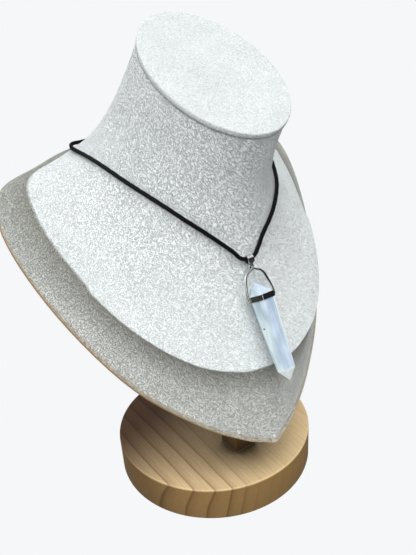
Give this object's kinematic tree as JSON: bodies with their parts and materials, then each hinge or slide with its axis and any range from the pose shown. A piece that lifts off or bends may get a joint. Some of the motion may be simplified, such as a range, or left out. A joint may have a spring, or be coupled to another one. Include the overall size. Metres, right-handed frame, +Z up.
{
  "type": "pendant necklace on a neck bust stand",
  "caption": "Six-sided crystal point pendant on a cord, hung round a fabric-covered neck bust on a round wooden base",
  "frame": {"origin": "centre of the wooden base's underside", "axes": "+Z up, -Y the way the chest faces, +X to the right of someone facing the chest"},
  "size_m": [0.1586, 0.1169, 0.2172],
  "materials": {
    "wood": "smooth pale pine, unvarnished",
    "board": "tan fibreboard",
    "velvet": "off-white short-pile velvet",
    "cord": "black waxed cotton",
    "plated_metal": "polished silver plate",
    "selenite": "milky, silky, slightly translucent"
  },
  "bodies": {
    "stand": {"wood_base": "wood", "support_post": "wood", "back_board": "board", "bust_form": "velvet", "neck_cap": "velvet", "cord": "cord", "clasp": "plated_metal"},
    "pendant": {"bail": "plated_metal", "stirrup": "plated_metal", "crystal": "selenite"}
  },
  "joints": [
    {"name": "pendant_swing", "type": "hinge", "parent": "stand", "child": "pendant", "pos_m": [-0.001, -0.0371, 0.12485], "axis": [-1, 0, 0], "range_deg": [0, 130]}
  ]
}
